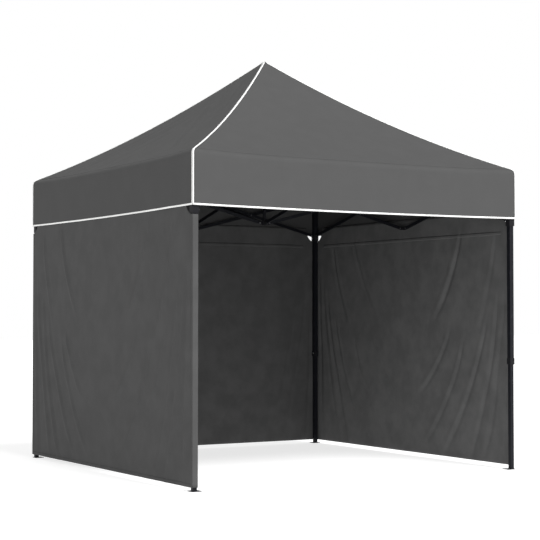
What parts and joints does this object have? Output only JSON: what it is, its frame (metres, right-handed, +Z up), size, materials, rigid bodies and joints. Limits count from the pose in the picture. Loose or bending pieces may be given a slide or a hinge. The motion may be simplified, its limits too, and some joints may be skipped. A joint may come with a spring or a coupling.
{
  "type": "pop-up canopy tent",
  "caption": "Square pop-up canopy on a folding scissor frame, with telescoping legs, peaked fabric roof with valances, and side walls on all sides but the front.",
  "frame": {"origin": "on the ground, under the middle of the tent", "axes": "+Z up, +Y to the back wall, -Y out of the open front, +X to the right seen from the front"},
  "size_m": [3.0022, 3.0022, 3.406],
  "materials": {
    "leg_steel": "satin",
    "bar_steel": "satin",
    "rod_steel": "satin",
    "black_plastic": "matte",
    "grey_plastic": "satin",
    "roof_polyester": "matte",
    "wall_polyester": "matte"
  },
  "bodies": {
    "upper_hub": {"upper_hub": "black_plastic"},
    "spoke_upper_bar_front": {"spoke_upper_bar_front": "bar_steel"},
    "spoke_lower_bar_front": {"spoke_lower_bar_front": "bar_steel"},
    "upper_connector_front": {"upper_connector_front": "black_plastic"},
    "lower_connector_front": {"lower_connector_front": "black_plastic"},
    "front_rising_bar_a": {"front_rising_bar_a": "bar_steel"},
    "front_falling_bar_a": {"front_falling_bar_a": "bar_steel"},
    "front_rising_bar_b": {"front_rising_bar_b": "bar_steel"},
    "front_falling_bar_b": {"front_falling_bar_b": "bar_steel"},
    "spoke_upper_bar_right": {"spoke_upper_bar_right": "bar_steel"},
    "spoke_lower_bar_right": {"spoke_lower_bar_right": "bar_steel"},
    "upper_connector_right": {"upper_connector_right": "black_plastic", "wall_right": "wall_polyester"},
    "lower_connector_right": {"lower_connector_right": "black_plastic"},
    "right_rising_bar_a": {"right_rising_bar_a": "bar_steel"},
    "right_falling_bar_a": {"right_falling_bar_a": "bar_steel"},
    "right_rising_bar_b": {"right_rising_bar_b": "bar_steel"},
    "right_falling_bar_b": {"right_falling_bar_b": "bar_steel"},
    "spoke_upper_bar_back": {"spoke_upper_bar_back": "bar_steel"},
    "spoke_lower_bar_back": {"spoke_lower_bar_back": "bar_steel"},
    "upper_connector_back": {"upper_connector_back": "black_plastic", "wall_back": "wall_polyester"},
    "lower_connector_back": {"lower_connector_back": "black_plastic"},
    "back_rising_bar_a": {"back_rising_bar_a": "bar_steel"},
    "back_falling_bar_a": {"back_falling_bar_a": "bar_steel"},
    "back_rising_bar_b": {"back_rising_bar_b": "bar_steel"},
    "back_falling_bar_b": {"back_falling_bar_b": "bar_steel"},
    "spoke_upper_bar_left": {"spoke_upper_bar_left": "bar_steel"},
    "spoke_lower_bar_left": {"spoke_lower_bar_left": "bar_steel"},
    "upper_connector_left": {"upper_connector_left": "black_plastic", "wall_left": "wall_polyester"},
    "lower_connector_left": {"lower_connector_left": "black_plastic"},
    "left_rising_bar_a": {"left_rising_bar_a": "bar_steel"},
    "left_falling_bar_a": {"left_falling_bar_a": "bar_steel"},
    "left_rising_bar_b": {"left_rising_bar_b": "bar_steel"},
    "left_falling_bar_b": {"left_falling_bar_b": "bar_steel"},
    "lower_hub": {"lower_hub": "black_plastic", "peak_pole_tube": "leg_steel"},
    "peak_rod": {"peak_pole_rod": "rod_steel", "peak_cap": "black_plastic"},
    "roof_panel_front": {"roof_panel_front": "roof_polyester"},
    "roof_panel_right": {"roof_panel_right": "roof_polyester"},
    "roof_panel_back": {"roof_panel_back": "roof_polyester"},
    "roof_panel_left": {"roof_panel_left": "roof_polyester"},
    "outer_leg_front_left": {"outer_leg_front_left": "leg_steel"},
    "slider_front_left": {"slider_front_left": "black_plastic"},
    "inner_leg_front_left": {"inner_leg_front_left": "leg_steel"},
    "slider_button_front_left": {"slider_button_front_left": "grey_plastic"},
    "outer_leg_front_right": {"outer_leg_front_right": "leg_steel"},
    "slider_front_right": {"slider_front_right": "black_plastic"},
    "inner_leg_front_right": {"inner_leg_front_right": "leg_steel"},
    "slider_button_front_right": {"slider_button_front_right": "grey_plastic"},
    "outer_leg_back_right": {"outer_leg_back_right": "leg_steel"},
    "slider_back_right": {"slider_back_right": "black_plastic"},
    "inner_leg_back_right": {"inner_leg_back_right": "leg_steel"},
    "slider_button_back_right": {"slider_button_back_right": "grey_plastic"},
    "outer_leg_back_left": {"outer_leg_back_left": "leg_steel"},
    "slider_back_left": {"slider_back_left": "black_plastic"},
    "inner_leg_back_left": {"inner_leg_back_left": "leg_steel"},
    "slider_button_back_left": {"slider_button_back_left": "grey_plastic"}
  },
  "joints": [
    {"name": "fold", "type": "hinge", "parent": "upper_hub", "child": "spoke_upper_bar_front", "pos_m": [0, -0.045, 2.4], "axis": [1, 0, 0], "range_deg": [0, 73], "deforming": ["roof_panel_front", "roof_panel_right", "roof_panel_back", "roof_panel_left", "wall_right", "wall_back", "wall_left"]},
    {"name": "spoke_crossing_front", "type": "hinge", "parent": "spoke_upper_bar_front", "child": "spoke_lower_bar_front", "pos_m": [0, -0.739, 2.2225], "axis": [1, 0, 0], "range_deg": [-146.01, 0]},
    {"name": "upper_connector_front_pivot", "type": "hinge", "parent": "spoke_lower_bar_front", "child": "upper_connector_front", "pos_m": [0, -1.433, 2.4], "axis": [1, 0, 0], "range_deg": [0, 73.01]},
    {"name": "lower_connector_front_pivot", "type": "hinge", "parent": "spoke_upper_bar_front", "child": "lower_connector_front", "pos_m": [0, -1.433, 2.045], "axis": [1, 0, 0], "range_deg": [-73.01, 0]},
    {"name": "front_rising_bar_a_pivot", "type": "hinge", "parent": "upper_connector_front", "child": "front_rising_bar_a", "pos_m": [-0.035, -1.468, 2.4], "axis": [0, 1, 0], "range_deg": [-73.01, 0]},
    {"name": "front_crossing_a", "type": "hinge", "parent": "front_rising_bar_a", "child": "front_falling_bar_a", "pos_m": [-0.729, -1.468, 2.2225], "axis": [0, 1, 0], "range_deg": [0, 146.01]},
    {"name": "front_rising_bar_b_pivot", "type": "hinge", "parent": "upper_connector_front", "child": "front_rising_bar_b", "pos_m": [0.035, -1.468, 2.4], "axis": [0, 1, 0], "range_deg": [0, 73.01]},
    {"name": "front_crossing_b", "type": "hinge", "parent": "front_rising_bar_b", "child": "front_falling_bar_b", "pos_m": [0.729, -1.468, 2.2225], "axis": [0, 1, 0], "range_deg": [-146.01, 0]},
    {"name": "spoke_upper_bar_right_pivot", "type": "hinge", "parent": "upper_hub", "child": "spoke_upper_bar_right", "pos_m": [0.045, 0, 2.4], "axis": [0, 1, 0], "range_deg": [0, 73.01]},
    {"name": "spoke_crossing_right", "type": "hinge", "parent": "spoke_upper_bar_right", "child": "spoke_lower_bar_right", "pos_m": [0.739, 0, 2.2225], "axis": [0, 1, 0], "range_deg": [-146.01, 0]},
    {"name": "upper_connector_right_pivot", "type": "hinge", "parent": "spoke_lower_bar_right", "child": "upper_connector_right", "pos_m": [1.433, 0, 2.4], "axis": [0, 1, 0], "range_deg": [0, 73.01]},
    {"name": "lower_connector_right_pivot", "type": "hinge", "parent": "spoke_upper_bar_right", "child": "lower_connector_right", "pos_m": [1.433, 0, 2.045], "axis": [0, 1, 0], "range_deg": [-73.01, 0]},
    {"name": "right_rising_bar_a_pivot", "type": "hinge", "parent": "upper_connector_right", "child": "right_rising_bar_a", "pos_m": [1.468, -0.035, 2.4], "axis": [-1, 0, 0], "range_deg": [-73.01, 0]},
    {"name": "right_crossing_a", "type": "hinge", "parent": "right_rising_bar_a", "child": "right_falling_bar_a", "pos_m": [1.468, -0.729, 2.2225], "axis": [-1, 0, 0], "range_deg": [0, 146.01]},
    {"name": "right_rising_bar_b_pivot", "type": "hinge", "parent": "upper_connector_right", "child": "right_rising_bar_b", "pos_m": [1.468, 0.035, 2.4], "axis": [-1, 0, 0], "range_deg": [0, 73.01]},
    {"name": "right_crossing_b", "type": "hinge", "parent": "right_rising_bar_b", "child": "right_falling_bar_b", "pos_m": [1.468, 0.729, 2.2225], "axis": [-1, 0, 0], "range_deg": [-146.01, 0]},
    {"name": "spoke_upper_bar_back_pivot", "type": "hinge", "parent": "upper_hub", "child": "spoke_upper_bar_back", "pos_m": [0, 0.045, 2.4], "axis": [-1, 0, 0], "range_deg": [0, 73.01]},
    {"name": "spoke_crossing_back", "type": "hinge", "parent": "spoke_upper_bar_back", "child": "spoke_lower_bar_back", "pos_m": [0, 0.739, 2.2225], "axis": [-1, 0, 0], "range_deg": [-146.01, 0]},
    {"name": "upper_connector_back_pivot", "type": "hinge", "parent": "spoke_lower_bar_back", "child": "upper_connector_back", "pos_m": [0, 1.433, 2.4], "axis": [-1, 0, 0], "range_deg": [0, 73.01]},
    {"name": "lower_connector_back_pivot", "type": "hinge", "parent": "spoke_upper_bar_back", "child": "lower_connector_back", "pos_m": [0, 1.433, 2.045], "axis": [-1, 0, 0], "range_deg": [-73.01, 0]},
    {"name": "back_rising_bar_a_pivot", "type": "hinge", "parent": "upper_connector_back", "child": "back_rising_bar_a", "pos_m": [0.035, 1.468, 2.4], "axis": [0, -1, 0], "range_deg": [-73.01, 0]},
    {"name": "back_crossing_a", "type": "hinge", "parent": "back_rising_bar_a", "child": "back_falling_bar_a", "pos_m": [0.729, 1.468, 2.2225], "axis": [0, -1, 0], "range_deg": [0, 146.01]},
    {"name": "back_rising_bar_b_pivot", "type": "hinge", "parent": "upper_connector_back", "child": "back_rising_bar_b", "pos_m": [-0.035, 1.468, 2.4], "axis": [0, -1, 0], "range_deg": [0, 73.01]},
    {"name": "back_crossing_b", "type": "hinge", "parent": "back_rising_bar_b", "child": "back_falling_bar_b", "pos_m": [-0.729, 1.468, 2.2225], "axis": [0, -1, 0], "range_deg": [-146.01, 0]},
    {"name": "spoke_upper_bar_left_pivot", "type": "hinge", "parent": "upper_hub", "child": "spoke_upper_bar_left", "pos_m": [-0.045, 0, 2.4], "axis": [0, -1, 0], "range_deg": [0, 73.01]},
    {"name": "spoke_crossing_left", "type": "hinge", "parent": "spoke_upper_bar_left", "child": "spoke_lower_bar_left", "pos_m": [-0.739, 0, 2.2225], "axis": [0, -1, 0], "range_deg": [-146.01, 0]},
    {"name": "upper_connector_left_pivot", "type": "hinge", "parent": "spoke_lower_bar_left", "child": "upper_connector_left", "pos_m": [-1.433, 0, 2.4], "axis": [0, -1, 0], "range_deg": [0, 73.01]},
    {"name": "lower_connector_left_pivot", "type": "hinge", "parent": "spoke_upper_bar_left", "child": "lower_connector_left", "pos_m": [-1.433, 0, 2.045], "axis": [0, -1, 0], "range_deg": [-73.01, 0]},
    {"name": "left_rising_bar_a_pivot", "type": "hinge", "parent": "upper_connector_left", "child": "left_rising_bar_a", "pos_m": [-1.468, 0.035, 2.4], "axis": [1, 0, 0], "range_deg": [-73.01, 0]},
    {"name": "left_crossing_a", "type": "hinge", "parent": "left_rising_bar_a", "child": "left_falling_bar_a", "pos_m": [-1.468, 0.729, 2.2225], "axis": [1, 0, 0], "range_deg": [0, 146.01]},
    {"name": "left_rising_bar_b_pivot", "type": "hinge", "parent": "upper_connector_left", "child": "left_rising_bar_b", "pos_m": [-1.468, -0.035, 2.4], "axis": [1, 0, 0], "range_deg": [0, 73.01]},
    {"name": "left_crossing_b", "type": "hinge", "parent": "left_rising_bar_b", "child": "left_falling_bar_b", "pos_m": [-1.468, -0.729, 2.2225], "axis": [1, 0, 0], "range_deg": [-146.01, 0]},
    {"name": "lower_hub_pivot", "type": "hinge", "parent": "spoke_lower_bar_front", "child": "lower_hub", "pos_m": [0, -0.045, 2.045], "axis": [1, 0, 0], "range_deg": [0, 73.01]},
    {"name": "peak_rod_slide", "type": "slide", "parent": "lower_hub", "child": "peak_rod", "axis": [0, 0, 1], "range_m": [0, 0.16001]},
    {"name": "roof_panel_front_drape", "type": "hinge", "parent": "peak_rod", "child": "roof_panel_front", "pos_m": [0, -0.00184, 3.11912], "axis": [1, 0, 0], "range_deg": [0, 56.01]},
    {"name": "roof_panel_right_drape", "type": "hinge", "parent": "peak_rod", "child": "roof_panel_right", "pos_m": [0.00184, 0, 3.11912], "axis": [0, 1, 0], "range_deg": [0, 56.01]},
    {"name": "roof_panel_back_drape", "type": "hinge", "parent": "peak_rod", "child": "roof_panel_back", "pos_m": [0, 0.00184, 3.11912], "axis": [-1, 0, 0], "range_deg": [0, 56.01]},
    {"name": "roof_panel_left_drape", "type": "hinge", "parent": "peak_rod", "child": "roof_panel_left", "pos_m": [-0.00184, 0, 3.11912], "axis": [0, -1, 0], "range_deg": [0, 56.01]},
    {"name": "outer_leg_front_left_pivot", "type": "hinge", "parent": "front_falling_bar_a", "child": "outer_leg_front_left", "pos_m": [-1.423, -1.468, 2.4], "axis": [0, 1, 0], "range_deg": [-73.01, 0]},
    {"name": "slider_front_left_pivot", "type": "hinge", "parent": "front_rising_bar_a", "child": "slider_front_left", "pos_m": [-1.423, -1.468, 2.045], "axis": [0, 1, 0], "range_deg": [0, 73.01]},
    {"name": "leg_height_front_left", "type": "slide", "parent": "outer_leg_front_left", "child": "inner_leg_front_left", "axis": [0, 0, 1], "range_m": [0, 0.8]},
    {"name": "press_slider_button_front_left", "type": "slide", "parent": "slider_front_left", "child": "slider_button_front_left", "axis": [-1, 0, 0], "range_m": [0, 0.004], "stiffness_N_per_m": 300, "springref_m": -0.002},
    {"name": "outer_leg_front_right_pivot", "type": "hinge", "parent": "front_falling_bar_b", "child": "outer_leg_front_right", "pos_m": [1.423, -1.468, 2.4], "axis": [0, 1, 0], "range_deg": [0, 73.01]},
    {"name": "slider_front_right_pivot", "type": "hinge", "parent": "front_rising_bar_b", "child": "slider_front_right", "pos_m": [1.423, -1.468, 2.045], "axis": [0, 1, 0], "range_deg": [-73.01, 0]},
    {"name": "leg_height_front_right", "type": "slide", "parent": "outer_leg_front_right", "child": "inner_leg_front_right", "axis": [0, 0, 1], "range_m": [0, 0.8]},
    {"name": "press_slider_button_front_right", "type": "slide", "parent": "slider_front_right", "child": "slider_button_front_right", "axis": [0, -1, 0], "range_m": [0, 0.004], "stiffness_N_per_m": 300, "springref_m": -0.002},
    {"name": "outer_leg_back_right_pivot", "type": "hinge", "parent": "back_falling_bar_a", "child": "outer_leg_back_right", "pos_m": [1.423, 1.468, 2.4], "axis": [0, -1, 0], "range_deg": [-73.01, 0]},
    {"name": "slider_back_right_pivot", "type": "hinge", "parent": "back_rising_bar_a", "child": "slider_back_right", "pos_m": [1.423, 1.468, 2.045], "axis": [0, -1, 0], "range_deg": [0, 73.01]},
    {"name": "leg_height_back_right", "type": "slide", "parent": "outer_leg_back_right", "child": "inner_leg_back_right", "axis": [0, 0, 1], "range_m": [0, 0.8]},
    {"name": "press_slider_button_back_right", "type": "slide", "parent": "slider_back_right", "child": "slider_button_back_right", "axis": [1, 0, 0], "range_m": [0, 0.004], "stiffness_N_per_m": 300, "springref_m": -0.002},
    {"name": "outer_leg_back_left_pivot", "type": "hinge", "parent": "back_falling_bar_b", "child": "outer_leg_back_left", "pos_m": [-1.423, 1.468, 2.4], "axis": [0, -1, 0], "range_deg": [0, 73.01]},
    {"name": "slider_back_left_pivot", "type": "hinge", "parent": "back_rising_bar_b", "child": "slider_back_left", "pos_m": [-1.423, 1.468, 2.045], "axis": [0, -1, 0], "range_deg": [-73.01, 0]},
    {"name": "leg_height_back_left", "type": "slide", "parent": "outer_leg_back_left", "child": "inner_leg_back_left", "axis": [0, 0, 1], "range_m": [0, 0.8]},
    {"name": "press_slider_button_back_left", "type": "slide", "parent": "slider_back_left", "child": "slider_button_back_left", "axis": [0, 1, 0], "range_m": [0, 0.004], "stiffness_N_per_m": 300, "springref_m": -0.002}
  ],
  "couplings": [
    {"joint": "spoke_crossing_front", "follows": "fold", "ratio": -2},
    {"joint": "upper_connector_front_pivot", "follows": "fold", "ratio": 1},
    {"joint": "lower_connector_front_pivot", "follows": "fold", "ratio": -1},
    {"joint": "front_rising_bar_a_pivot", "follows": "fold", "ratio": -1},
    {"joint": "front_crossing_a", "follows": "fold", "ratio": 2},
    {"joint": "front_rising_bar_b_pivot", "follows": "fold", "ratio": 1},
    {"joint": "front_crossing_b", "follows": "fold", "ratio": -2},
    {"joint": "spoke_upper_bar_right_pivot", "follows": "fold", "ratio": 1},
    {"joint": "spoke_crossing_right", "follows": "fold", "ratio": -2},
    {"joint": "upper_connector_right_pivot", "follows": "fold", "ratio": 1},
    {"joint": "lower_connector_right_pivot", "follows": "fold", "ratio": -1},
    {"joint": "right_rising_bar_a_pivot", "follows": "fold", "ratio": -1},
    {"joint": "right_crossing_a", "follows": "fold", "ratio": 2},
    {"joint": "right_rising_bar_b_pivot", "follows": "fold", "ratio": 1},
    {"joint": "right_crossing_b", "follows": "fold", "ratio": -2},
    {"joint": "spoke_upper_bar_back_pivot", "follows": "fold", "ratio": 1},
    {"joint": "spoke_crossing_back", "follows": "fold", "ratio": -2},
    {"joint": "upper_connector_back_pivot", "follows": "fold", "ratio": 1},
    {"joint": "lower_connector_back_pivot", "follows": "fold", "ratio": -1},
    {"joint": "back_rising_bar_a_pivot", "follows": "fold", "ratio": -1},
    {"joint": "back_crossing_a", "follows": "fold", "ratio": 2},
    {"joint": "back_rising_bar_b_pivot", "follows": "fold", "ratio": 1},
    {"joint": "back_crossing_b", "follows": "fold", "ratio": -2},
    {"joint": "spoke_upper_bar_left_pivot", "follows": "fold", "ratio": 1},
    {"joint": "spoke_crossing_left", "follows": "fold", "ratio": -2},
    {"joint": "upper_connector_left_pivot", "follows": "fold", "ratio": 1},
    {"joint": "lower_connector_left_pivot", "follows": "fold", "ratio": -1},
    {"joint": "left_rising_bar_a_pivot", "follows": "fold", "ratio": -1},
    {"joint": "left_crossing_a", "follows": "fold", "ratio": 2},
    {"joint": "left_rising_bar_b_pivot", "follows": "fold", "ratio": 1},
    {"joint": "left_crossing_b", "follows": "fold", "ratio": -2},
    {"joint": "lower_hub_pivot", "follows": "fold", "ratio": 1},
    {"joint": "peak_rod_slide", "follows": "fold", "m_per_rad": 0.12558},
    {"joint": "roof_panel_front_drape", "follows": "fold", "ratio": 0.76712},
    {"joint": "roof_panel_right_drape", "follows": "fold", "ratio": 0.76712},
    {"joint": "roof_panel_back_drape", "follows": "fold", "ratio": 0.76712},
    {"joint": "roof_panel_left_drape", "follows": "fold", "ratio": 0.76712},
    {"joint": "outer_leg_front_left_pivot", "follows": "fold", "ratio": -1},
    {"joint": "slider_front_left_pivot", "follows": "fold", "ratio": 1},
    {"joint": "outer_leg_front_right_pivot", "follows": "fold", "ratio": 1},
    {"joint": "slider_front_right_pivot", "follows": "fold", "ratio": -1},
    {"joint": "outer_leg_back_right_pivot", "follows": "fold", "ratio": -1},
    {"joint": "slider_back_right_pivot", "follows": "fold", "ratio": 1},
    {"joint": "outer_leg_back_left_pivot", "follows": "fold", "ratio": 1},
    {"joint": "slider_back_left_pivot", "follows": "fold", "ratio": -1}
  ]
}
